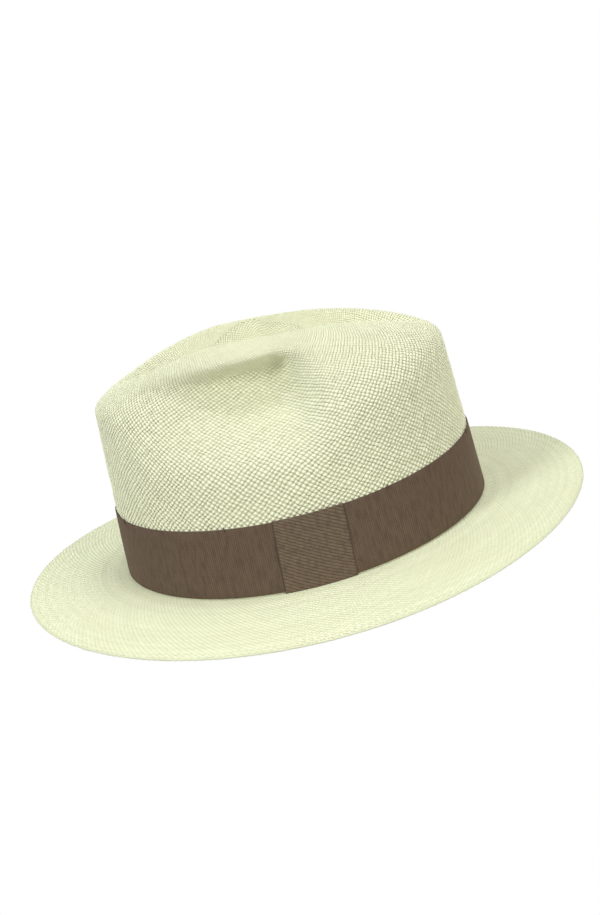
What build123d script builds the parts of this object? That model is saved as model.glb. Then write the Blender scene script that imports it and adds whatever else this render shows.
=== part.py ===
from build123d import *
import os
from math import copysign, cos, exp, hypot, pi, sin, sqrt

# A panama hat in millimetres. +Z is up, -Y is the front, +X is the wearer's left.
# The origin is the centre of the head opening, level with the brim break at the back.

# Head opening and crown, outside faces of the straw
half_length = 104.0        # front to back, at the brim break
half_width = 85.0          # side to side, at the brim break
straw = 1.4                # thickness of the woven straw
break_saddle = 1.75        # the brim break dips twice this much at the sides
break_tilt = 0.7           # and is lower in front than behind by twice this much
crown_top = 119.2          # height of the undented crown
top_peak_y = -20.0         # where the undented crown is highest
front_drop = 20.8          # how far the top falls to the front wall
back_drop = 25.5           # how far the top falls to the back wall
front_power = 1.45         # how suddenly it falls at the front
back_power = 2.0
front_lean = 7.6           # how far the walls lean in over the crown's height
back_lean = 8.2
side_lean = 14.0
end_shoulder = 11.0        # height of the rounded shoulder at front and back
side_shoulder = 48.0       # height of the rounded shoulder at the sides
end_sharpness = 4.4        # superellipse exponent of the shoulder at front and back
side_sharpness = 2.4
shoulder_fade = 3.0        # how quickly the end shoulder gives way to the side one

# Centre dent in the top, and the two finger pinches in its sides
dent_depth = 22.0
dent_half_width = 27.0
dent_taper = 0.28          # how much narrower the dent gets towards the back
dent_centre_y = 5.0
dent_half_length = 82.0
dent_power = 1.4
dent_floor = 2.0           # half the width of the level spot at its bottom
dent_round = 0.15          # rounding of the dent where its length is shared out
ridge_round = 2.5          # rounding of the ridge round the dent
pinch_depth = 38.0
pinch_y = 0.0
pinch_z = 90.5
pinch_reach_front = 64.0
pinch_reach_back = 18.0
pinch_reach_up = 17.0
pinch_reach_down = 18.0
pinch_fade_x = 20.0        # the pinch fades out within this distance of the centre line

# Brim
brim_front = 58.8
brim_back = 55.8
brim_side = 58.2
brim_drop = 0.75           # mean drop of the edge below the brim break
brim_snap = 0.45           # the front edge is lower and the back edge higher by this much
brim_roll = 1.9            # the ends are higher and the sides lower by this much
brim_power = 1.6           # the brim leaves the crown level and then bends

# Ribbon, sweatband and thread
ribbon_width = 38.0
ribbon = 0.8
knot_width = 38.0
knot_centre_y = -0.6
gap = 0.1                  # clearance between sewn layers
sweatband = 1.0
sweatband_height = 32.0
reed_radius = 0.7
binding_radius = 1.1
thread_radius = 0.25
stitch_length = 4.0
stitch_count = 84
tack_length = 3.0
tack_angles = (20, 65, 115, 160, 205, 250, 295, 340)

around = 64                # points on one ring
wall_rings = 6
top_rings = 30             # the last one is left to the dent's lowest point
brim_rings = 5
section_points = 12        # steps round a cord's section


def break_height(angle):
    """Height of the brim break; angle 0 is the front and 90 degrees the wearer's left."""
    return break_saddle * (cos(2 * angle) - 1) - break_tilt * (cos(angle) + 1)


def top_height(y):
    """Height of the undented crown along its centre line."""
    ahead = max(top_peak_y - y, 0) / (top_peak_y + half_length)
    behind = max(y - top_peak_y, 0) / (half_length - top_peak_y)
    return crown_top - front_drop * ahead**front_power - back_drop * behind**back_power


def smooth_lower(a, b, size):
    """The lower of two heights, with the corner between them rounded."""
    share = min(max(0.5 + 0.5 * (b - a) / size, 0), 1)
    return b * (1 - share) + a * share - size * share * (1 - share)


def crown_point(angle, step):
    """A point on the outside of the crown.

    step runs from -1 at the brim break to 0 at the top of the wall, and on to 1 at the
    bottom of the dent.
    """
    s, c = sin(angle), cos(angle)
    wall = max(-step, 0)
    turn = max(step, 0) * pi / 2
    end = abs(c) ** shoulder_fade
    sharp = end_sharpness * end + side_sharpness * (1 - end)
    shoulder = end_shoulder * end + side_shoulder * (1 - end)
    lean = front_lean if c > 0 else back_lean
    inward = max(cos(turn), 0) ** (2 / sharp)
    rise = sin(turn) ** (2 / sharp)

    x = inward * (half_width - 0.9 * side_lean) * s
    y = -inward * (half_length - 0.9 * lean) * c
    dome = top_height(y)
    along = (y - dent_centre_y) / dent_half_length
    width = dent_half_width * (1 - dent_taper * min(max(along, 0), 1))
    place = (x / width) ** 2 + (along**2 + dent_round**2) ** (dent_power / 2) - dent_round**dent_power
    bowl = dome - dent_depth * (1 - place)
    z = smooth_lower(dome, bowl, ridge_round) - shoulder * (1 - rise)
    outer_z = dome - shoulder * (1 - rise)
    if step < 0:
        low = break_height(angle)
        z = outer_z = low + (dome - shoulder - low) * (1 - wall)

    x = inward * (half_width - side_lean * outer_z / crown_top) * s
    y = -inward * (half_length - lean * outer_z / crown_top) * c
    reach_y = pinch_reach_front if y < pinch_y else pinch_reach_back
    above = max(outer_z - pinch_z, 0) / pinch_reach_up
    below = max(pinch_z - outer_z, 0) / pinch_reach_down
    push = pinch_depth * exp(-(((y - pinch_y) / reach_y) ** 2) - above**4 - below**2)
    return Vector(x - push * x / hypot(x, pinch_fade_x), y, z)


def crown_inset(angle, step, depth):
    """The crown point moved in along the surface's own normal."""
    small = 0.002
    across = crown_point(angle + small, step) - crown_point(angle - small, step)
    upward = crown_point(angle, step + small) - crown_point(angle, step - small)
    return crown_point(angle, step) - across.cross(upward).normalized() * depth


def wall_point(angle, height, out):
    """A point beside the crown's wall: height above the brim break, and out from the straw."""
    low = break_height(angle)
    c = cos(angle)
    end = abs(c) ** shoulder_fade
    lean = front_lean if c > 0 else back_lean
    dome = top_height(-(half_length - 0.9 * lean) * c)
    wall_top = dome - end_shoulder * end - side_shoulder * (1 - end)
    base = crown_point(angle, height / (wall_top - low) - 1)
    return base + outward(angle) * out


def outward(angle):
    """Level direction straight out of the head oval."""
    return Vector(sin(angle) / half_width, -cos(angle) / half_length, 0).normalized()


def brim_point(angle, reach):
    """A point on top of the brim; reach is 0 at the brim break and 1 at the edge."""
    s, c = sin(angle), cos(angle)
    width = (brim_front if c > 0 else brim_back) * c * c + brim_side * s * s
    edge = brim_roll * cos(2 * angle) - brim_drop - brim_snap * c
    base = Vector(half_width * s, -half_length * c, break_height(angle))
    return base + outward(angle) * (width * reach) + Vector(0, 0, edge * reach**brim_power)


def ring(point):
    """A closed smooth wire through one point for each angle round the hat."""
    points = [point(2 * pi * i / around) for i in range(around)]
    return Wire([Edge.make_spline(points, periodic=True)])


def stack(profiles, ends=()):
    """A solid whose skin runs from each wire to the next; ends are the faces that close it."""
    faces = list(ends)
    for one, other in zip(profiles, profiles[1:]):
        faces += Shell.make_loft([one, other], ruled=True).faces()
    solid = Solid(Shell(faces))
    return solid if solid.volume > 0 else Solid(solid.wrapped.Reversed())


def flat_oval(centre):
    """The small level ring that closes the bottom of the dent."""
    return ring(lambda a: centre + Vector(dent_floor * sin(a), -2 * dent_floor * cos(a), 0))


def layer(low, high, inner, outer, rows=4):
    """A strip that follows the crown's wall between two heights and two offsets."""
    heights = [low + (high - low) * i / rows for i in range(rows + 1)]
    wires = [ring(lambda a, h=h: wall_point(a, h, outer)) for h in heights]
    wires += [ring(lambda a, h=h: wall_point(a, h, inner)) for h in reversed(heights)]
    return stack(wires + wires[:1])


def straw_body():
    """Crown and brim woven in one piece: one skin from the crown's top to its inside."""
    steps = [i / wall_rings - 1 for i in range(wall_rings)]
    steps += [i / top_rings for i in range(top_rings - 1)]
    reaches = [i / brim_rings for i in range(1, brim_rings + 1)]
    below = Vector(0, 0, -straw)

    lowest = crown_point(0, 1)
    skin = [flat_oval(lowest)]
    skin += [ring(lambda a, t=t: crown_point(a, t)) for t in reversed(steps)]
    skin += [ring(lambda a, r=r: brim_point(a, r)) for r in reaches]
    skin += [ring(lambda a, r=r: brim_point(a, r) + below) for r in reversed(reaches)]
    skin += [ring(lambda a: brim_point(a, 0) + below - outward(a) * straw)]
    skin += [ring(lambda a, t=t: crown_inset(a, t, straw)) for t in steps[1:]]
    skin += [flat_oval(lowest + below)]
    return stack(skin, [Face(skin[0]), Face(skin[-1])])


def tube(radius, height, out):
    """A round cord that lies against the wall all the way round."""
    return stack(arc_rings(radius, height, out, 0, 360))


def sleeve(radius, wall, height, out, mouth):
    """A tape folded round a cord, open at the top where its two edges meet the sweatband."""
    start, finish = 90 + mouth / 2, 450 - mouth / 2
    wires = arc_rings(radius, height, out, start, finish)
    wires += reversed(arc_rings(radius - wall, height, out, start, finish))
    return stack(wires + wires[:1])


def arc_rings(radius, height, out, start, finish):
    """Rings round the hat at even steps along an arc of a cord's section."""
    turns = [(start + (finish - start) * i / section_points) * pi / 180 for i in range(section_points + 1)]
    return [ring(lambda a, t=t: wall_point(a, height + radius * sin(t), out + radius * cos(t))) for t in turns]


def stitches(count, length, height, out, phase=0.5):
    """Short straight threads, evenly spaced round the hat."""
    threads = []
    for i in range(count):
        angle = 2 * pi * (i + phase) / count
        half_turn = length / 2 / hypot(half_length * sin(angle), half_width * cos(angle))
        start = wall_point(angle - half_turn, height, out)
        finish = wall_point(angle + half_turn, height, out)
        threads.append(thread(start, finish))
    return Compound(children=threads)


def thread(start, finish):
    """One straight piece of thread."""
    along = finish - start
    return Solid.make_cylinder(thread_radius, along.length, Plane(origin=start, z_dir=along))


def tacks():
    """Upright stitches that hold the ribbon's top edge to the crown."""
    threads = []
    out = ribbon + 3 * gap + thread_radius
    for degrees in tack_angles:
        angle = degrees * pi / 180
        start = wall_point(angle, ribbon_width - tack_length, out)
        threads.append(thread(start, wall_point(angle, ribbon_width - 0.4, out)))
    return Compound(children=threads)


def cut_to(strip, centre, size):
    """The part of a strip inside one box."""
    return strip & Pos(*centre) * Box(*size)


def band_knot():
    """Flat ribbon wrap over the band's join, on the wearer's left."""
    wrap = layer(0.4, ribbon_width + 0.6, ribbon + 2 * gap, 2 * ribbon + 2 * gap)
    return cut_to(wrap, (half_width, knot_centre_y, 20), (60, knot_width, 90))


def sweatband_join(out):
    """Tape over the two ends of the sweatband, at the back."""
    strip = layer(4, sweatband_height - 2, out - 0.6, out)
    return cut_to(strip, (0, half_length, 20), (14, 60, 90))


def sweatband_bow(out):
    """Small flat bow on the tape at the back: two loops and the knot between them."""
    loop_length, loop_depth, wall, width = 9.0, 2.4, 0.5, 3.2
    middle = wall_point(pi, 13, out - loop_depth / 2 - 0.9)     # clear of the oval's curve
    loops = []
    for side in (-1, 1):
        outline = Pos(side * loop_length / 2, 0) * Ellipse(loop_length / 2 + 0.4, loop_depth / 2)
        hole = Pos(side * loop_length / 2, 0) * Ellipse(loop_length / 2 + 0.4 - wall, loop_depth / 2 - wall)
        loops.append(extrude(outline - hole, width / 2, both=True))
    knot = fillet(Box(2.6, loop_depth, width + 0.6).edges().filter_by(Axis.Z), 0.6)
    return Pos(*middle) * (loops[0] + loops[1] + knot)


def save(name, shape):
    shape.label = name
    export_step(shape, f"parts/{name}.step")


os.makedirs("parts", exist_ok=True)

lining_out = -straw - 0.6                      # outer face of the sweatband
lining_in = lining_out - sweatband             # inner face of the sweatband
reed_out = lining_out - binding_radius
binding_wall = binding_radius - reed_radius - 0.05

save("straw_body", straw_body())
save("hat_band", layer(0.6, ribbon_width, gap, ribbon + gap))
save("band_knot", band_knot())
save("band_tacks", tacks())
save("sweatband", layer(binding_radius + gap, sweatband_height, lining_in, lining_out))
save("sweatband_reed", tube(reed_radius, 0, reed_out))
save("sweatband_binding", sleeve(binding_radius, binding_wall, 0, reed_out, 30))
save("sweatband_stitching", stitches(stitch_count, stitch_length, 0, reed_out - binding_radius - 0.35))
save("sweatband_join", sweatband_join(lining_in - gap))
save("sweatband_bow", sweatband_bow(lining_in - gap - 0.6))
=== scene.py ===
import bpy
import numpy as np
from mathutils import Matrix, Vector


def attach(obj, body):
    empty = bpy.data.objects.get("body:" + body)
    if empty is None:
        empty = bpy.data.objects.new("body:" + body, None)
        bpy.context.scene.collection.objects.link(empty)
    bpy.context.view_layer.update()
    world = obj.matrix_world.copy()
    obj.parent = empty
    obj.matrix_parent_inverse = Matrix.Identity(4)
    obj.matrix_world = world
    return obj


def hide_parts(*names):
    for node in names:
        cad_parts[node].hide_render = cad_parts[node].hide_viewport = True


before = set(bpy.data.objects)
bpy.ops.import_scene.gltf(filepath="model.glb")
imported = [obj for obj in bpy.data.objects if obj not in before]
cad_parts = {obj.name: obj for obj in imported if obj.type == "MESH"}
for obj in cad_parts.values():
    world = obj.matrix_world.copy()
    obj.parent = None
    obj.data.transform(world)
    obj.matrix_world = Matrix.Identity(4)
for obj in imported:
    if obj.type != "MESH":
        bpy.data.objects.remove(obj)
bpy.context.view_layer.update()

# A panama hat. The shape is worked out in millimetres and written to meshes in metres.
# +Z is up, -Y is the front, +X is the wearer's left. Angles start at the front and turn to the left.
MM = 0.001
TAU = 2 * np.pi
DOWN = np.array([0, 0, -1.0])

# The crown's and brim's shape, the same formulas and numbers as the CAD model
HALF_LENGTH, HALF_WIDTH, STRAW = 104.0, 85.0, 1.4
BREAK_SADDLE, BREAK_TILT = 1.75, 0.7
CROWN_TOP, TOP_PEAK_Y = 119.2, -20.0
FRONT_DROP, BACK_DROP, FRONT_POWER, BACK_POWER = 20.8, 25.5, 1.45, 2.0
FRONT_LEAN, BACK_LEAN, SIDE_LEAN = 7.6, 8.2, 14.0
LEAN_AT_TOP = 0.9           # share of the lean that the top of the wall has
END_SHOULDER, SIDE_SHOULDER = 11.0, 48.0
END_SHARPNESS, SIDE_SHARPNESS, SHOULDER_FADE = 4.4, 2.4, 3.0
DENT_DEPTH, DENT_HALF_WIDTH, DENT_TAPER = 22.0, 27.0, 0.28
DENT_CENTRE_Y, DENT_HALF_LENGTH, DENT_POWER, DENT_ROUND = 5.0, 82.0, 1.4, 0.15
RIDGE_ROUND = 2.5
PINCH_DEPTH, PINCH_Y, PINCH_Z, PINCH_FADE_X = 38.0, 0.0, 90.5, 20.0
PINCH_FRONT, PINCH_BACK, PINCH_UP, PINCH_DOWN = 64.0, 18.0, 17.0, 18.0
BRIM_FRONT, BRIM_BACK, BRIM_SIDE = 58.8, 55.8, 58.2
BRIM_DROP, BRIM_SNAP, BRIM_ROLL, BRIM_POWER = 0.75, 0.45, 1.9, 1.6
RIBBON_WIDTH, RIBBON_THICKNESS = 38.0, 0.6
KNOT_WIDTH, KNOT_CENTRE_Y = 38.0, -0.6
LINING_OUT, SWEATBAND, SWEATBAND_HEIGHT = -2.0, 1.0, 32.0
BINDING_RADIUS = 1.1

# Weave: repeats round the hat, samples per repeat, and how far the straws stand proud
CROWN_REPEATS, BRIM_REPEATS, FINE, COARSE = 184, 260, 4, 2
CROWN_RELIEF, BRIM_RELIEF, INSIDE_RELIEF = 1.05, 0.38, 0.4
ROW_RATIO = 0.9             # height of a weave repeat over its width
CELL = 3.0                  # width of a repeat that has the full relief; a narrower one has less
FOOT_ROWS, FADE_ROWS, FADE_HEIGHT = 7, 4, 3.0   # plain rows behind the ribbon, then rows where relief grows
WALL_GIRTH, DENT_GIRTH, BUTTON_GIRTH = 200, 110, 14     # shortest ring of each fineness of weave
INSIDE_GIRTH, INSIDE_END = 60, 0.985
BRIM_ROWS, BRIM_WEAVE_END = 23, 0.985           # rows of weave, and the reach where the edge bead starts
GROOVE_REACH, GROOVE_WIDTH, GROOVE_DEPTH = 0.915, 0.008, 0.28   # the line before the back-woven edge
RIB_PITCH, WRAP_RIB_PITCH = 1.1, 1.8            # grosgrain ribs of the band and of the wrap over its join
EDGE_ROWS = 3               # rows round the edge of a strip of cloth


# ---------------------------------------------------------------- shape of the hat

def break_height(angle):
    return BREAK_SADDLE * (np.cos(2 * angle) - 1) - BREAK_TILT * (np.cos(angle) + 1)


def outward(angle):
    """Level direction straight out of the head oval."""
    way = np.stack([np.sin(angle) / HALF_WIDTH, -np.cos(angle) / HALF_LENGTH, 0 * angle], -1)
    return way / np.linalg.norm(way, axis=-1, keepdims=True)


def top_height(y):
    ahead = np.maximum(TOP_PEAK_Y - y, 1e-9) / (TOP_PEAK_Y + HALF_LENGTH)
    behind = np.maximum(y - TOP_PEAK_Y, 1e-9) / (HALF_LENGTH - TOP_PEAK_Y)
    return CROWN_TOP - FRONT_DROP * ahead**FRONT_POWER - BACK_DROP * behind**BACK_POWER


def smooth_lower(a, b, size):
    share = np.clip(0.5 + 0.5 * (b - a) / size, 0, 1)
    return b * (1 - share) + a * share - size * share * (1 - share)


def wall_top(angle):
    """Height of the top of the crown's wall, where the shoulder starts."""
    c = np.cos(angle)
    end = np.abs(c) ** SHOULDER_FADE
    lean = np.where(c > 0, FRONT_LEAN, BACK_LEAN)
    crest = top_height(-(HALF_LENGTH - LEAN_AT_TOP * lean) * c)
    return crest - END_SHOULDER * end - SIDE_SHOULDER * (1 - end)


def crown_point(angle, step):
    """Outside of the crown: step is -1 at the brim break, 0 at the wall's top and 1 in the dent."""
    s, c = np.sin(angle), np.cos(angle)
    wall = np.maximum(-step, 0)
    turn = np.clip(step, 0, 1) * np.pi / 2
    end = np.abs(c) ** SHOULDER_FADE
    sharp = END_SHARPNESS * end + SIDE_SHARPNESS * (1 - end)
    shoulder = END_SHOULDER * end + SIDE_SHOULDER * (1 - end)
    lean = np.where(c > 0, FRONT_LEAN, BACK_LEAN)
    inward = np.maximum(np.cos(turn), 0) ** (2 / sharp)
    rise = np.sin(turn) ** (2 / sharp)

    x = inward * (HALF_WIDTH - LEAN_AT_TOP * SIDE_LEAN) * s
    y = -inward * (HALF_LENGTH - LEAN_AT_TOP * lean) * c
    dome = top_height(y)
    along = (y - DENT_CENTRE_Y) / DENT_HALF_LENGTH
    width = DENT_HALF_WIDTH * (1 - DENT_TAPER * np.clip(along, 0, 1))
    place = (x / width) ** 2 + (along**2 + DENT_ROUND**2) ** (DENT_POWER / 2) - DENT_ROUND**DENT_POWER
    bowl = dome - DENT_DEPTH * (1 - place)
    low = break_height(angle)
    on_wall = low + (dome - shoulder - low) * (1 - wall)
    z = np.where(step < 0, on_wall, smooth_lower(dome, bowl, RIDGE_ROUND) - shoulder * (1 - rise))
    outer_z = np.where(step < 0, on_wall, dome - shoulder * (1 - rise))

    x = inward * (HALF_WIDTH - SIDE_LEAN * outer_z / CROWN_TOP) * s
    y = -inward * (HALF_LENGTH - lean * outer_z / CROWN_TOP) * c
    reach_y = np.where(y < PINCH_Y, PINCH_FRONT, PINCH_BACK)
    above = np.maximum(outer_z - PINCH_Z, 0) / PINCH_UP
    below = np.maximum(PINCH_Z - outer_z, 0) / PINCH_DOWN
    push = PINCH_DEPTH * np.exp(-(((y - PINCH_Y) / reach_y) ** 2) - above**4 - below**2)
    x = x - push * x / np.hypot(x, PINCH_FADE_X)
    return np.stack(np.broadcast_arrays(x, y, z), -1)


def wall_point(angle, height, out):
    """Beside the crown's wall: height above the brim break, and out from the straw."""
    base = crown_point(angle, height / (wall_top(angle) - break_height(angle)) - 1)
    return base + outward(angle) * np.asarray(out)[..., None]


def brim_point(angle, reach):
    """Top of the brim: reach is 0 at the brim break and 1 at the edge."""
    s, c = np.sin(angle), np.cos(angle)
    width = np.where(c > 0, BRIM_FRONT, BRIM_BACK) * c * c + BRIM_SIDE * s * s
    edge = BRIM_ROLL * np.cos(2 * angle) - BRIM_DROP - BRIM_SNAP * c
    base = np.stack(np.broadcast_arrays(HALF_WIDTH * s, -HALF_LENGTH * c, break_height(angle)), -1)
    lift = edge * reach**BRIM_POWER
    return base + outward(angle) * (width * reach)[..., None] + np.stack([0 * lift, 0 * lift, lift], -1)


# ---------------------------------------------------------------- mesh tools

def rings(columns):
    """Angles of the columns of a closed grid."""
    return np.arange(columns) * TAU / columns


def normals(grid):
    """Unit normals of a closed grid of points (rows, columns, 3); rows that rise point out of the hat."""
    across = np.roll(grid, -1, 1) - np.roll(grid, 1, 1)
    upward = np.gradient(grid, axis=0)
    normal = np.cross(across, upward)
    return normal / (np.linalg.norm(normal, axis=-1, keepdims=True) + 1e-12)


def repeat_width(grid, uv):
    """Width in millimetres of one weave repeat on each row of a grid."""
    rows, columns = grid.shape[:2]
    step = np.linalg.norm(np.diff(grid, axis=1), axis=-1).mean(1)
    turn = np.abs(np.diff(uv[:rows, :columns, 0], axis=1)).mean(1)
    return np.minimum(step / np.maximum(turn, 1e-3), 10)


def add_piece(name, mesh, material):
    """An object of the mesh, shaded smooth, that belongs to the hat."""
    mesh.polygons.foreach_set("use_smooth", np.ones(len(mesh.polygons), bool))
    mesh.materials.append(material)
    piece = bpy.data.objects.new(name, mesh)
    bpy.context.scene.collection.objects.link(piece)
    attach(piece, "root")
    return piece


def grid_corners(rows, columns, closed, looped):
    """Rows and columns of the four corners of each face of a grid."""
    row = np.arange(rows if looped else rows - 1)
    column = np.arange(columns if closed else columns - 1)
    r, c = np.meshgrid(row, column, indexing="ij")
    return [(r, c), (r, c + 1), (r + 1, c + 1), (r + 1, c)]


def grid_object(name, grid, material, uv, closed=True, looped=False, cap=False, ends=False):
    """A mesh piece from a grid of points in millimetres.

    closed joins the last column to the first, looped joins the last row to the first, and cap
    closes the last row with a fan. ends closes the first and last columns of a looped strip.
    uv is (rows + looped, columns + closed, 2). The attribute cell is the width of a weave repeat.
    """
    rows, columns = grid.shape[:2]
    corners = grid_corners(rows, columns, closed, looped)
    faces = np.stack([(a % rows) * columns + b % columns for a, b in corners], -1).reshape(-1, 4)
    verts = grid.reshape(-1, 3) * MM
    cell = np.repeat(repeat_width(grid, uv), columns)
    loops, sizes = [faces.reshape(-1)], [np.full(len(faces), 4)]
    flat = [np.stack([uv[a, b] for a, b in corners], 2).reshape(-1, 2)]
    if cap:
        verts = np.vstack([verts, grid[-1].mean(0) * MM])
        cell = np.append(cell, cell[-1])
        last = (rows - 1) * columns + np.arange(columns)
        fan = np.stack([last, np.roll(last, -1), np.full(columns, len(verts) - 1)], -1)
        middle = np.tile(uv[-1].mean(0), (columns, 1))
        loops.append(fan.reshape(-1))
        sizes.append(np.full(columns, 3))
        flat.append(np.stack([uv[-1, :columns], uv[-1, 1:columns + 1], middle], 1).reshape(-1, 2))
    if ends:
        first = np.arange(rows) * columns
        loops += [first, first[::-1] + columns - 1]
        sizes.append(np.array([rows, rows]))
        flat += [uv[:rows, 0], uv[:rows, -1][::-1]]
    loops, sizes, flat = np.concatenate(loops), np.concatenate(sizes), np.vstack(flat)
    mesh = bpy.data.meshes.new(name)
    mesh.vertices.add(len(verts))
    mesh.vertices.foreach_set("co", verts.reshape(-1).astype(np.float32))
    mesh.loops.add(len(loops))
    mesh.loops.foreach_set("vertex_index", loops.astype(np.int32))
    mesh.polygons.add(len(sizes))
    mesh.polygons.foreach_set("loop_start", (np.cumsum(sizes) - sizes).astype(np.int32))
    mesh.uv_layers.new(name="weave").data.foreach_set("uv", flat.reshape(-1).astype(np.float32))
    mesh.attributes.new("cell", "FLOAT", "POINT").data.foreach_set("value", cell.astype(np.float32))
    mesh.update(calc_edges=True)
    mesh.validate()
    return add_piece(name, mesh, material)


def weave_uv(columns_per_repeat, columns, rows_per_repeat, row_start, rows):
    """Weave coordinates of a grid: repeats round the hat, and repeats up it."""
    u = np.arange(columns + 1) / columns_per_repeat
    v = row_start + np.arange(rows) / rows_per_repeat
    return np.stack(np.meshgrid(u, v), -1)


def weave_height(around, up):
    """Height, 0 to 1, of a plain weave of straws that cross at 45 degrees."""
    total = 0
    nudge = 1e-4
    for du, dv in ((nudge, nudge), (nudge, -nudge), (-nudge, nudge), (-nudge, -nudge)):
        u, v = around + up + du, around - up + dv
        fu, fv = u - np.floor(u) - 0.5, v - np.floor(v) - 0.5
        over = (np.floor(u) + np.floor(v)) % 2 == 0
        along, across = np.where(over, fu, fv), np.where(over, fv, fu)
        total = total + 1 - 0.7 * (2 * np.abs(along)) ** 2 - 0.3 * (2 * np.abs(across)) ** 4
    return total / 4


# ---------------------------------------------------------------- materials

class Graph:
    """A small helper for building a material's nodes."""

    def __init__(self, name):
        self.material = bpy.data.materials.new(name)
        self.material.use_nodes = True
        self.tree = self.material.node_tree
        self.shader = self.tree.nodes["Principled BSDF"]

    def node(self, kind, settings=None, **inputs):
        node = self.tree.nodes.new(kind)
        for key, value in (settings or {}).items():
            setattr(node, key, value)
        for key, value in inputs.items():
            self.feed(node.inputs[int(key[1:])] if key[1:].isdigit() else node.inputs[key], value)
        return node

    def feed(self, socket, value):
        if isinstance(value, bpy.types.NodeSocket):
            self.tree.links.new(value, socket)
        else:
            socket.default_value = value

    def math(self, operation, a, b=0.0):
        node = self.node("ShaderNodeMath", {"operation": operation}, i0=a, i1=b)
        return node.outputs[0]

    def mix(self, share, a, b):
        node = self.node("ShaderNodeMix", {"data_type": "RGBA"}, i0=share, i6=a, i7=b)
        return node.outputs[2]

    def ramp(self, value, low, high, to_low=0.0, to_high=1.0):
        node = self.node("ShaderNodeMapRange", {"interpolation_type": "SMOOTHSTEP"},
                         i0=value, i1=low, i2=high, i3=to_low, i4=to_high)
        return node.outputs[0]

    def noise(self, vector, scale, detail=2.0, roughness=0.5):
        node = self.node("ShaderNodeTexNoise", None,
                         Vector=vector, Scale=scale, Detail=detail, Roughness=roughness)
        return node.outputs[0]

    def bump(self, height, distance, strength=1.0):
        node = self.node("ShaderNodeBump", None, Height=height, Distance=distance, Strength=strength)
        return node.outputs[0]

    def combine(self, x, y, z=0.0):
        return self.node("ShaderNodeCombineXYZ", None, i0=x, i1=y, i2=z).outputs[0]

    def finish(self, **inputs):
        for key, value in inputs.items():
            self.feed(self.shader.inputs[key.replace("_", " ")], value)
        return self.material


def colour(red, green, blue):
    """An sRGB colour, 11 to 255, as the linear value that a shader takes."""
    return [((value / 255 + 0.055) / 1.055) ** 2.4 for value in (red, green, blue)] + [1.0]


def straw_material(name, light, deep, gap_shade_strength, ring_tone, repeats, bump_depth):
    """Woven straw: a tone for each straw, painted shade in the gaps between them, and fine fibres along
    each.

    Weave coordinates u and v run along the two directions of straw, at 45 degrees to the rings.
    bump_depth is in metres for a repeat 1 mm wide.
    """
    g = Graph(name)
    uv = g.node("ShaderNodeUVMap", {"uv_map": "weave"}).outputs[0]
    split = g.node("ShaderNodeSeparateXYZ", None, i0=uv)
    u = g.math("ADD", split.outputs[0], split.outputs[1])
    v = g.math("SUBTRACT", split.outputs[0], split.outputs[1])
    cell_u, cell_v = g.math("FLOOR", u), g.math("FLOOR", v)
    checker = g.math("PINGPONG", g.math("ADD", cell_u, cell_v), 1.0)

    def choose(a, b):
        """a where the straws of the first direction are on top, b elsewhere."""
        share = g.math("SUBTRACT", 1.0, checker)
        return g.math("ADD", g.math("MULTIPLY", a, share), g.math("MULTIPLY", b, checker))

    across = choose(g.math("FRACT", v), g.math("FRACT", u))
    along = choose(u, v)
    first_id, second_id = (g.math("MODULO", g.math("ADD", cell, repeats * 8.0), float(repeats))
                           for cell in (cell_v, cell_u))
    straw_id = choose(first_id, g.math("ADD", second_id, 517.3))
    tone = g.node("ShaderNodeTexWhiteNoise", {"noise_dimensions": "1D"}, W=straw_id).outputs[0]
    edge = g.math("ABSOLUTE", g.math("SUBTRACT", across, 0.5))
    end = g.math("ABSOLUTE", g.math("SUBTRACT", g.math("FRACT", along), 0.5))
    # Painted shade: the gaps between straws are darkened, unevenly, where shade falls in the grooves
    uneven_gap_shade = g.noise(g.combine(split.outputs[0], split.outputs[1], 7.0), 0.55, 2.0, 0.6)
    gap_shade = g.math("MAXIMUM", g.ramp(edge, 0.3, 0.5), g.ramp(end, 0.24, 0.5, 0.0, 0.9))
    gap_shade = g.math("MULTIPLY", gap_shade, g.ramp(uneven_gap_shade, 0.3, 0.7, 0.6, 1.0))
    fibre_place = g.combine(g.math("MULTIPLY", across, 9.0), g.math("MULTIPLY", along, 0.9), straw_id)
    fibre = g.noise(fibre_place, 1.0, 3.0)
    place = g.node("ShaderNodeTexCoord").outputs["Object"]
    patch = g.noise(place, 22.0, 3.0, 0.55)
    ring = g.node("ShaderNodeTexWhiteNoise", {"noise_dimensions": "1D"},
                  W=g.math("FLOOR", split.outputs[1])).outputs[0]

    # Colour of the painted shade in the gaps between straws
    gap_shade_colour = colour(168, 158, 120)
    base = g.mix(g.ramp(tone, 0.0, 1.0, 0.0, 0.3), light, deep)
    base = g.mix(g.ramp(fibre, 0.35, 0.8, 0.0, 0.22), base, colour(205, 205, 165))
    base = g.mix(g.ramp(patch, 0.4, 0.75, 0.0, 0.15), base, colour(222, 218, 182))
    base = g.mix(g.math("MULTIPLY", ring, ring_tone), base, colour(200, 203, 166))
    # Painted shade in the gaps between straws
    base = g.mix(g.math("MULTIPLY", gap_shade, gap_shade_strength), base, gap_shade_colour)
    long_fall = g.math("MULTIPLY", g.math("POWER", g.math("MULTIPLY", end, 2.0), 2.0), 0.6)
    side_fall = g.math("MULTIPLY", g.math("POWER", g.math("MULTIPLY", edge, 2.0), 3.0), 0.7)
    pillow = g.math("SUBTRACT", g.math("MULTIPLY", fibre, 0.12), g.math("ADD", long_fall, side_fall))
    cell = g.node("ShaderNodeAttribute", {"attribute_name": "cell"}).outputs["Fac"]
    normal = g.bump(pillow, g.math("MULTIPLY", cell, bump_depth))
    rough = g.ramp(fibre, 0.2, 0.8, 0.46, 0.62)
    return g.finish(Base_Color=base, Roughness=rough, Normal=normal, Specular_IOR_Level=0.35)


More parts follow.
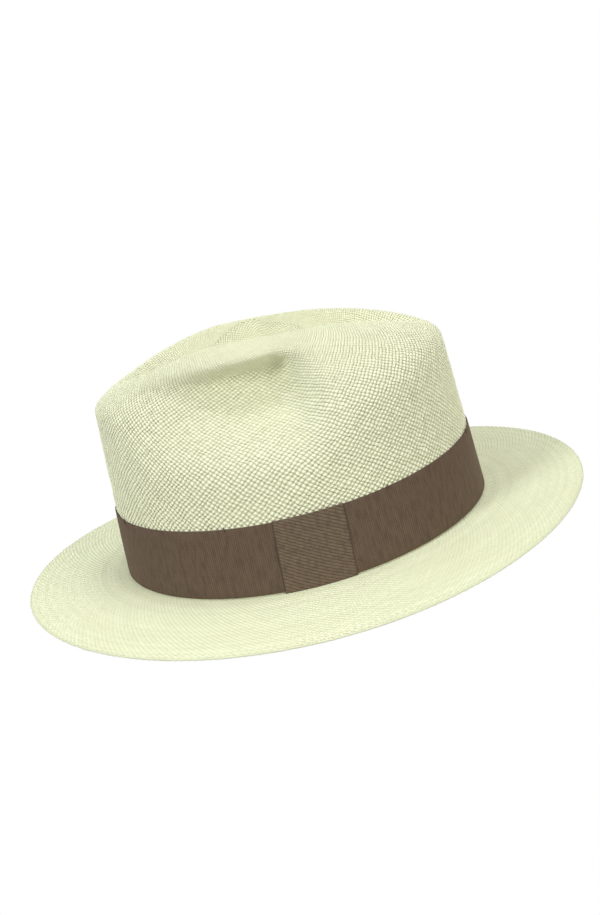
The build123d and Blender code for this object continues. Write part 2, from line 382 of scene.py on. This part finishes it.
def ribbon_material(name, thread, dark, rib_tone, slant=0.0, edge_shadow_from=None):
    """Grosgrain: ribs along the second weave coordinate and fine warp threads over them.

    rib_tone is how dark the grooves are and slant tilts the ribs; near the side edges, past the last
    argument, a painted shadow darkens the cloth.
    """
    g = Graph(name)
    uv = g.node("ShaderNodeUVMap", {"uv_map": "weave"}).outputs[0]
    split = g.node("ShaderNodeSeparateXYZ", None, i0=uv)
    slanted = g.math("ADD", split.outputs[0], g.math("MULTIPLY", split.outputs[1], slant))
    rib = g.math("ABSOLUTE", g.math("SUBTRACT", g.math("FRACT", slanted), 0.5))
    warp = g.math("ABSOLUTE", g.math("SUBTRACT", g.math("FRACT", split.outputs[1]), 0.5))
    stretched = g.combine(g.math("MULTIPLY", split.outputs[0], 0.5),
                          g.math("MULTIPLY", split.outputs[1], 0.12))
    mottled = g.noise(stretched, 1.0, 3.0, 0.6)
    base = g.mix(g.ramp(rib, 0.2, 0.5, 0.0, rib_tone), thread, dark)
    base = g.mix(g.ramp(warp, 0.25, 0.5, 0.0, 0.35), base, dark)
    base = g.mix(g.ramp(mottled, 0.35, 0.75, 0.0, 0.4), base, dark)
    if edge_shadow_from:
        # Painted shadow along the side edges, where the wrap meets the band
        edge = g.math("ABSOLUTE", split.outputs[1])
        base = g.mix(g.ramp(edge, edge_shadow_from, edge_shadow_from + 2.5, 0.0, 0.6), base, colour(34, 26, 22))
    height = g.math("ADD", g.math("MULTIPLY", rib, -1.0), g.math("MULTIPLY", warp, -0.5))
    normal = g.bump(height, 0.00012, 0.7)
    return g.finish(Base_Color=base, Roughness=0.72, Normal=normal, Specular_IOR_Level=0.25,
                    Sheen_Weight=0.25, Sheen_Roughness=0.4, Sheen_Tint=colour(190, 165, 140))


def cloth_material(name, light, dark, pitch):
    """Plain cotton: crossing threads of one pitch, in metres."""
    g = Graph(name)
    place = g.node("ShaderNodeTexCoord").outputs["Object"]
    wave_a = g.node("ShaderNodeTexWave", {"bands_direction": "DIAGONAL"}, Vector=place, Scale=0.16 / pitch,
                    Distortion=0.4).outputs[1]
    wave_b = g.node("ShaderNodeTexWave", {"bands_direction": "Z"}, Vector=place, Scale=0.3 / pitch,
                    Distortion=0.3).outputs[1]
    thread = g.math("MULTIPLY", g.math("ADD", wave_a, wave_b), 0.5)
    patch = g.noise(place, 60.0, 4.0, 0.6)
    base = g.mix(thread, dark, light)
    base = g.mix(g.ramp(patch, 0.35, 0.8, 0.0, 0.3), base, dark)
    return g.finish(Base_Color=base, Roughness=0.85, Normal=g.bump(thread, 0.00008, 0.6),
                    Specular_IOR_Level=0.2, Sheen_Weight=0.2)


def plastic_material(name, tint):
    g = Graph(name)
    place = g.node("ShaderNodeTexCoord").outputs["Object"]
    haze = g.noise(place, 400.0, 3.0)
    return g.finish(Base_Color=g.mix(g.ramp(haze, 0.3, 0.7, 0.0, 0.3), tint, colour(170, 165, 150)),
                    Roughness=g.ramp(haze, 0.2, 0.8, 0.25, 0.45))


def stage_material(name, strength):
    material = bpy.data.materials.new(name)
    material.use_nodes = True
    nodes = material.node_tree.nodes
    nodes.clear()
    glow = nodes.new("ShaderNodeEmission")
    glow.inputs["Color"].default_value = (1, 1, 1, 1)
    glow.inputs["Strength"].default_value = strength
    out = nodes.new("ShaderNodeOutputMaterial")
    material.node_tree.links.new(glow.outputs[0], out.inputs["Surface"])
    return material


# ---------------------------------------------------------------- straw body

def crown_rings(columns, marks):
    """Points of crown rings at the given marks: 0 at the ribbon's top edge and 1 at the dent's bottom.

    On every column a mark is the same share of the way along the crown's own curve.
    """
    angle = rings(columns)
    start = RIBBON_WIDTH / (wall_top(angle) - break_height(angle)) - 1
    share = np.linspace(0, 1, 600)[:, None]
    steps = start + (1 - start) * share
    line = crown_point(angle[None, :], steps)
    pieces = np.linalg.norm(np.diff(line, axis=0), axis=-1)
    length = np.concatenate([np.zeros((1, columns)), np.cumsum(pieces, 0)])
    length /= length[-1]
    chosen = np.stack([np.interp(marks, length[:, i], steps[:, i]) for i in range(columns)], 1)
    return crown_point(angle[None, :], chosen)


def crown_marks(repeats, samples, first, girth_limit):
    """Marks of rows that keep the weave's shape, from one mark to where rings get shorter than the limit."""
    marks = np.linspace(0, 1, 200)
    loop = crown_rings(96, marks)
    girths = np.linalg.norm(np.roll(loop, -1, 1) - loop, axis=-1).sum(1)
    climb = np.linalg.norm(np.diff(loop, axis=0), axis=-1).mean(1).sum()
    rows, mark = [first], first
    while np.interp(mark, marks, girths) > girth_limit and len(rows) < 600:
        mark += np.interp(mark, marks, girths) / repeats * ROW_RATIO / samples / climb
        rows.append(mark)
    return np.array(rows)


def uneven(rows, columns, samples, seed):
    """Random numbers, -1 to 1, one for each straw crossing, blended over the samples between them."""
    count = -(-rows // samples) + 1
    points = np.random.default_rng(seed).uniform(-1, 1, (count, columns // samples))
    points = np.concatenate([points, points[:, :1]], 1)
    row, column = np.arange(rows) / samples, np.arange(columns) / samples
    r, c = np.floor(row).astype(int), np.floor(column).astype(int)
    fr, fc = (row - r)[:, None], (column - c)[None, :]
    low = points[r][:, c] * (1 - fc) + points[r][:, c + 1] * fc
    high = points[r + 1][:, c] * (1 - fc) + points[r + 1][:, c + 1] * fc
    return low * (1 - fr) + high * fr


def relief_on(grid, uv, depth, samples=FINE, seed=1):
    """The grid with the weave's relief along its normals, and its straws shifted a little at random."""
    rows, columns = grid.shape[:2]
    height = weave_height(uv[..., 0], uv[..., 1])[:, :columns]
    lift = (height - 0.8) * (1 + 0.4 * uneven(rows, columns, samples, seed))
    lift = lift + 0.16 * uneven(rows, columns, samples, seed + 1)
    across, upward = np.roll(grid, -1, 1) - np.roll(grid, 1, 1), np.gradient(grid, axis=0)
    shift = across * (0.3 * uneven(rows, columns, samples, seed + 2))[..., None]
    shift = shift + upward * (0.6 * uneven(rows, columns, samples, seed + 3))[..., None]
    shift[0] = shift[-1] = 0
    scale = np.minimum(repeat_width(grid, uv) / CELL, 1)[:, None]
    return grid + shift + normals(grid) * (lift * depth * scale)[..., None]


def crown_pieces(material):
    """Outside of the crown, cut into pieces that keep each mesh small. It is cut into pieces
    to keep each mesh small enough to hand on.
    """
    pieces = []

    # Wall and ridges as one grid: plain at the foot, behind the ribbon, and woven above it
    columns = CROWN_REPEATS * FINE
    fade_start = RIBBON_WIDTH - FADE_HEIGHT
    fade_step = FADE_HEIGHT / (FADE_ROWS + 1)
    heights = np.concatenate([np.linspace(0, fade_start, FOOT_ROWS),
                              fade_start + fade_step * np.arange(1, FADE_ROWS + 1)])
    foot = np.stack([wall_point(rings(columns), h, 0.0) for h in heights])
    marks = crown_marks(CROWN_REPEATS, FINE, 0.0, WALL_GIRTH)
    plain = np.concatenate([foot, crown_rings(columns, marks)])
    uv = weave_uv(FINE, columns, FINE, -len(foot) / FINE, len(plain))
    share = np.clip((np.arange(len(plain)) - FOOT_ROWS) / FADE_ROWS, 0, 1)[:, None, None]
    woven = plain * (1 - share) + relief_on(plain, uv, CROWN_RELIEF) * share
    cuts = [0, len(woven) // 3, 2 * len(woven) // 3, len(woven) - 1]
    for name, low, high in zip(("crown_side", "crown_shoulder", "crown_ridge"), cuts, cuts[1:]):
        pieces.append(grid_object(name, woven[low:high + 1], material, uv[low:high + 1]))

    # Inside the dent the rings shorten, so the straws are halved twice
    first, row = marks[-1], (len(marks) - 1) / FINE
    for name, repeats, limit in (("crown_dent", CROWN_REPEATS // 2, DENT_GIRTH),
                                 ("crown_button", CROWN_REPEATS // 4, BUTTON_GIRTH)):
        columns = repeats * FINE
        marks = crown_marks(repeats, FINE, first, limit)
        uv = weave_uv(FINE, columns, FINE, round(row), len(marks))
        grid = relief_on(crown_rings(columns, marks), uv, CROWN_RELIEF)
        pieces.append(grid_object(name, grid, material, uv, cap=limit == BUTTON_GIRTH))
        first, row = marks[-1], row + (len(marks) - 1) / FINE
    return pieces


def crown_inside(material):
    """Inside of the crown, one straw's thickness in."""
    columns = CROWN_REPEATS * COARSE
    marks = crown_marks(CROWN_REPEATS, COARSE, 0.0, INSIDE_GIRTH)
    marks = marks[:int(np.searchsorted(marks, INSIDE_END))]
    heights = np.linspace(0, RIBBON_WIDTH - 2, 13)
    foot = np.stack([wall_point(rings(columns), h, 0.0) for h in heights])
    skin = np.concatenate([foot, crown_rings(columns, marks)])
    skin = skin - normals(skin) * STRAW
    uv = weave_uv(COARSE, columns, COARSE, 0, len(skin))
    height = weave_height(uv[..., 0], uv[..., 1])[:, :columns]
    skin = skin - normals(skin) * ((height - 0.5) * INSIDE_RELIEF)[..., None]
    return grid_object("crown_inside", skin[::-1], material, uv[::-1])


def brim_top(material):
    """Top of the brim, with faint rings, a groove and the bead of its back-woven edge."""
    columns = BRIM_REPEATS * FINE
    angle = rings(columns)[None, :]
    rows = BRIM_ROWS * FINE
    reach = (np.arange(rows + 1) / rows * BRIM_WEAVE_END)[:, None]
    grid = brim_point(angle, reach)
    uv = weave_uv(FINE, columns, FINE, 0, rows + 1)
    height = weave_height(uv[..., 0], uv[..., 1])[:, :columns]
    ring_wave = 0.5 + 0.5 * np.cos(TAU * uv[..., 1][:, :columns])
    edge_zone = np.clip((reach - 0.9) / 0.02, 0, 1)
    depth = BRIM_RELIEF * (0.55 + 0.45 * np.clip(reach / 0.9, 0, 1)) * (1 + 0.5 * edge_zone)
    uneven_rings = np.interp(np.arange(rows + 1), np.arange(0, rows + 1, 2),
                             np.random.default_rng(9).uniform(-1, 1, rows // 2 + 1))[:, None]
    shape = (height - 0.6) * depth * (1 + 0.4 * uneven(rows + 1, columns, FINE, 20))
    shape = shape + (ring_wave - 0.5) * 0.08 + 0.06 * uneven_rings
    shape = shape - GROOVE_DEPTH * np.exp(-(((reach - GROOVE_REACH) / GROOVE_WIDTH) ** 2))
    grid = grid - normals(grid) * shape[..., None]      # rows run outward, so the normals point down

    # The edge: a round bead with a nub for every straw that is woven back
    turns = np.linspace(90, -90, 9) * np.pi / 180
    rim_top, rim = brim_point(angle, reach[-1:])[0], brim_point(angle, np.array([[1.0]]))[0]
    along = rim - rim_top
    along /= np.linalg.norm(along, axis=-1, keepdims=True)
    centre = rim_top + DOWN * STRAW / 2
    nub = 0.72 + 0.12 * np.cos(TAU * uv[0, :columns, 0]) + 0.08 * uneven(1, columns, FINE, 30)[0]
    bead = [centre + (along * np.cos(t) * 1.0 - DOWN * np.sin(t) * 0.85) * nub[:, None] for t in turns]
    whole = np.concatenate([grid, np.stack(bead)])
    uv = weave_uv(FINE, columns, FINE, 0, len(whole))
    return grid_object("brim_top", whole[::-1], material, uv[::-1])


def brim_under(material):
    """Underside of the brim, from the inside of the crown's foot to the bead."""
    columns = BRIM_REPEATS * COARSE
    angle = rings(columns)[None, :]
    rows = BRIM_ROWS * COARSE
    reach = (np.arange(rows + 1) / rows * BRIM_WEAVE_END)[:, None]
    outer = brim_point(angle, reach) + DOWN * STRAW
    first = outer[0] - outward(angle[0]) * STRAW
    under = np.concatenate([first[None], outer])
    uv = weave_uv(COARSE, columns, COARSE, 0, len(under))
    height = weave_height(uv[..., 0], uv[..., 1])[:, :columns]
    under = under + DOWN * ((height - 0.5) * BRIM_RELIEF * 0.8)[..., None]
    return grid_object("brim_under", under, material, uv)


def straw_body():
    """Crown and brim, which together stand for the straw body."""
    crown_straw = straw_material("crown_straw", colour(243, 248, 216), colour(222, 226, 190), 0.45, 0.05,
                                 CROWN_REPEATS, 0.00021)
    # The brim's straw is a darker copy of the crown's: painted shade that offsets the extra top light on the
    # brim
    brim_straw_shaded = straw_material("brim_straw_shaded", colour(233, 239, 206), colour(216, 221, 185), 0.15, 0.2,
                                BRIM_REPEATS, 0.00007)
    pieces = crown_pieces(crown_straw)
    pieces += [crown_inside(crown_straw), brim_top(brim_straw_shaded), brim_under(brim_straw_shaded)]
    for piece in pieces:
        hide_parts("straw_body")


# ---------------------------------------------------------------- ribbon, sweatband and thread

def strip(angle, low, high, inner, outer, rows, lift):
    """A strip of cloth along the wall: its face, its two rounded edges and its back.

    lift (rows, columns) is added to the face's offset. Rows run up the face and down the back.
    """
    middle, half = (inner + outer) / 2, (outer - inner) / 2
    heights = np.linspace(low + half, high - half, rows)
    face = [(h, outer) for h in heights]
    turn = np.linspace(90, -90, EDGE_ROWS + 2)[1:-1] * np.pi / 180
    top = [(high - half + half * np.cos(t), middle + half * np.sin(t)) for t in turn]
    back = [(h, inner) for h in heights[::-1]]
    bottom = [(low + half - half * np.cos(t), middle - half * np.sin(t)) for t in turn]
    section = face + top + back + bottom
    lifts = np.zeros((len(section), len(angle)))
    lifts[:rows] = lift
    return np.stack([wall_point(angle, h, out + lifts[i]) for i, (h, out) in enumerate(section)])


def girth(height, out):
    """Length round the wall at a height above the brim break."""
    line = wall_point(np.linspace(0, TAU, 2001), height, out)
    return np.linalg.norm(np.diff(line, axis=0), axis=-1).sum()


def hat_band():
    """Grosgrain ribbon with upright ribs, round the foot of the crown."""
    length = girth(20.0, 0.6)
    rows, columns = 12, round(length / RIB_PITCH) * 4
    angle = rings(columns)
    sag = 0.15 * np.sin(3 * angle + 0.6) * np.sin(np.linspace(0, np.pi, rows))[:, None]
    ribs = 0.05 * np.cos(TAU * np.arange(columns) / 4)[None, :]
    grid = strip(angle, 0.6, RIBBON_WIDTH, 0.3, 0.3 + RIBBON_THICKNESS, rows, sag + ribs)
    uv = weave_uv(4, columns, 1, 0, len(grid) + 1)
    uv[..., 1] *= 3.5
    band = grid_object("ribbon_band", grid, RIBBON_MAIN, uv, looped=True)
    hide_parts("hat_band")
    band_tacks()


def angle_at(y, height=20.0):
    """The angle, on the wearer's left, where the wall is at this y."""
    angle = np.linspace(0.5, np.pi - 0.5, 2000)
    return np.interp(y, wall_point(angle, height, 0.9)[:, 1], angle)


def band_knot():
    """The ribbon wrapped flat over the band's join: its ribs run level, with a slight slant."""
    low, high = 0.1, RIBBON_WIDTH + 0.7
    rows = round((high - low) / WRAP_RIB_PITCH) * 4 + 1
    front, back = (angle_at(KNOT_CENTRE_Y + side * KNOT_WIDTH / 2) for side in (-1, 1))
    angles = np.linspace(front, back, 49)
    place = np.linspace(-1, 1, len(angles))
    end_round = np.clip((1 - np.abs(place)) / 0.04, 0, 1)
    end_round = np.sqrt(1 - (1 - end_round) ** 2)
    ribs = 0.08 * np.cos(TAU * np.arange(rows) / 4)[:, None]
    puff = 0.35 * (1 - place[None, :] ** 4) + 0.25 * np.exp(-(((place[None, :] - 0.86) / 0.08) ** 2))
    tuck = np.sin(np.linspace(0, np.pi, rows))[:, None] ** 0.4
    lift = (ribs + puff * tuck) * end_round[None, :] - (1 - end_round[None, :]) * 0.5

    grid = strip(angles, low, high, 1.05, 1.05 + RIBBON_THICKNESS, rows, lift)
    lean = (grid[..., 2:3] - 20) / 20 * 0.9
    share = np.clip((grid[..., 2:3] - break_height(angles)[None, :, None] - low) / (high - low), 0, 1)
    slant = -1.7 * place[None, :, None] * np.sin(np.pi * share)
    grid = grid + np.concatenate([0 * lean, lean, slant], -1)
    uv = np.zeros((len(grid) + 1, len(angles), 2))
    uv[..., 0] = (np.arange(len(grid) + 1) / 4)[:, None]
    uv[..., 1] = (place * 60)[None, :]
    knot = grid_object("ribbon_knot", grid, RIBBON_KNOT, uv, closed=False, looped=True, ends=True)
    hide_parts("band_knot")


def thread_tube(name, paths, radius, material, sides=8):
    """Round threads along short paths of points in millimetres, as one piece."""
    verts, faces = [], []
    for path in paths:
        path = np.asarray(path)
        along = np.gradient(path, axis=0)
        along /= np.linalg.norm(along, axis=1, keepdims=True)
        side = np.cross(along, np.array([0.3, 0.2, 0.93]))
        side /= np.linalg.norm(side, axis=1, keepdims=True)
        other = np.cross(along, side)
        size = radius * np.sqrt(np.clip(1 - np.linspace(-1, 1, len(path)) ** 8, 0.05, 1))
        base = len(verts)
        for p, a, b, r in zip(path, side, other, size):
            for k in range(sides):
                turn = TAU * k / sides
                verts.append((p + (a * np.cos(turn) + b * np.sin(turn)) * r) * MM)
        for i in range(len(path) - 1):
            for k in range(sides):
                a, b = base + i * sides + k, base + i * sides + (k + 1) % sides
                faces.append((a, b, b + sides, a + sides))
        faces.append(tuple(base + k for k in range(sides))[::-1])
        faces.append(tuple(base + (len(path) - 1) * sides + k for k in range(sides)))
    mesh = bpy.data.meshes.new(name)
    mesh.from_pydata([tuple(v) for v in verts], [], faces)
    return add_piece(name, mesh, material)


def band_tacks():
    """Stitches that hold the ribbon's top edge to the crown."""
    paths = []
    for degrees in (20, 65, 115, 160, 205, 250, 295, 340):
        angle = np.radians(degrees)
        heights = [36.2, 37.0, 38.0, 38.8, 39.3]
        outs = [0.95, 1.25, 1.3, 1.15, 0.6]
        paths.append([wall_point(angle, h, o) for h, o in zip(heights, outs)])
    piece = thread_tube("ribbon_tacks", paths, 0.25, RIBBON_THREAD)
    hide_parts("band_tacks")
    return piece


def sweatband():
    """Cotton strip inside the head opening; its binding, join, bow and stitching are the CAD model's own
    parts.
    """
    low, inner = BINDING_RADIUS + 0.1, LINING_OUT - SWEATBAND + 0.1
    columns = 480
    grid = strip(rings(columns), low, SWEATBAND_HEIGHT, inner, LINING_OUT, 24, 0)
    uv = weave_uv(1, columns, 1, 0, len(grid) + 1)
    piece = grid_object("sweatband_strip", grid, SWEAT_CLOTH, uv, looped=True)
    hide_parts("sweatband")
    length = girth((low + SWEATBAND_HEIGHT) / 2, (inner + LINING_OUT) / 2)


# ---------------------------------------------------------------- stage

def place_camera():
    """Camera on the wearer's left, a little above the brim, rolled so that the front hangs low."""
    camera = bpy.data.objects.new("camera", bpy.data.cameras.new("camera"))
    bpy.context.scene.collection.objects.link(camera)
    camera.data.sensor_fit = "VERTICAL"
    camera.data.sensor_height = 36
    camera.data.lens = 50.55
    camera.data.clip_start, camera.data.clip_end = 0.05, 20
    place, aim = Vector((0.6922, -0.0152, 0.2637)), Vector((-0.0021, 0.0055, 0.0367))
    turn = (aim - place).to_track_quat("-Z", "Y").to_matrix().to_4x4()
    camera.matrix_world = Matrix.Translation(place) @ turn @ Matrix.Rotation(np.radians(-13.9), 4, "Z")
    bpy.context.scene.camera = camera


def area_light(name, place, aim, size, power, tint=(1, 1, 1)):
    light = bpy.data.objects.new(name, bpy.data.lights.new(name, "AREA"))
    light.data.shape, light.data.size, light.data.energy, light.data.color = "DISK", size, power, tint
    turn = (Vector(aim) - Vector(place)).to_track_quat("-Z", "Y").to_matrix().to_4x4()
    light.matrix_world = Matrix.Translation(place) @ turn
    bpy.context.scene.collection.objects.link(light)


def build_stage():
    """White floor and backdrop that only the camera sees, even soft light and three softboxes."""
    bpy.ops.mesh.primitive_plane_add(size=12, location=(0, 0, -0.35))
    floor = bpy.context.object
    bpy.ops.mesh.primitive_uv_sphere_add(radius=5.5, segments=48, ring_count=24)
    backdrop = bpy.context.object
    for piece, name in ((floor, "floor"), (backdrop, "backdrop")):
        piece.name = name
        piece.data.materials.append(stage_material(name, 1.0))
        for ray in ("diffuse", "glossy", "transmission", "shadow"):
            setattr(piece, "visible_" + ray, False)
    world = bpy.data.worlds.new("world")
    bpy.context.scene.world = world
    world.use_nodes = True
    world.node_tree.nodes["Background"].inputs["Color"].default_value = (1, 1, 1, 1)
    world.node_tree.nodes["Background"].inputs["Strength"].default_value = 0.52
    area_light("key", (0.9, -1.3, 1.1), (0, 0, 0.05), 0.6, 17)
    area_light("top", (-0.1, 0.3, 1.6), (0, 0, 0.05), 0.7, 8.6)
    area_light("fill", (1.2, 1.0, 0.5), (0, 0, 0.05), 1.0, 10, (1, 0.94, 0.88))
    view = bpy.context.scene.view_settings
    view.view_transform, view.look, view.exposure, view.gamma = "Standard", "None", 0, 1


RIBBON_MAIN = ribbon_material("ribbon_main", colour(101, 84, 69), colour(56, 43, 34), 0.35)
# The wrap has a painted shadow along its side edges
RIBBON_KNOT = ribbon_material("ribbon_wrap", colour(114, 98, 81), colour(56, 45, 36), 0.6, 0.083, 57.5)
RIBBON_THREAD = cloth_material("ribbon_thread", colour(96, 78, 64), colour(60, 46, 38), 0.0004)
SWEAT_CLOTH = cloth_material("sweat_cloth", colour(214, 203, 178), colour(176, 162, 134), 0.0007)
BINDING_CLOTH = cloth_material("binding_cloth", colour(196, 182, 152), colour(158, 142, 112), 0.0006)
PALE_THREAD = cloth_material("pale_thread", colour(232, 228, 208), colour(196, 190, 164), 0.0004)
REED = plastic_material("reed_plastic", colour(214, 210, 194))

place_camera()
straw_body()
hat_band()
band_knot()
sweatband()
for node, material in (("sweatband_binding", BINDING_CLOTH), ("sweatband_join", BINDING_CLOTH),
                       ("sweatband_bow", BINDING_CLOTH), ("sweatband_stitching", PALE_THREAD),
                       ("sweatband_reed", REED)):
    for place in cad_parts[node].material_slots:
        place.material = material
build_stage()
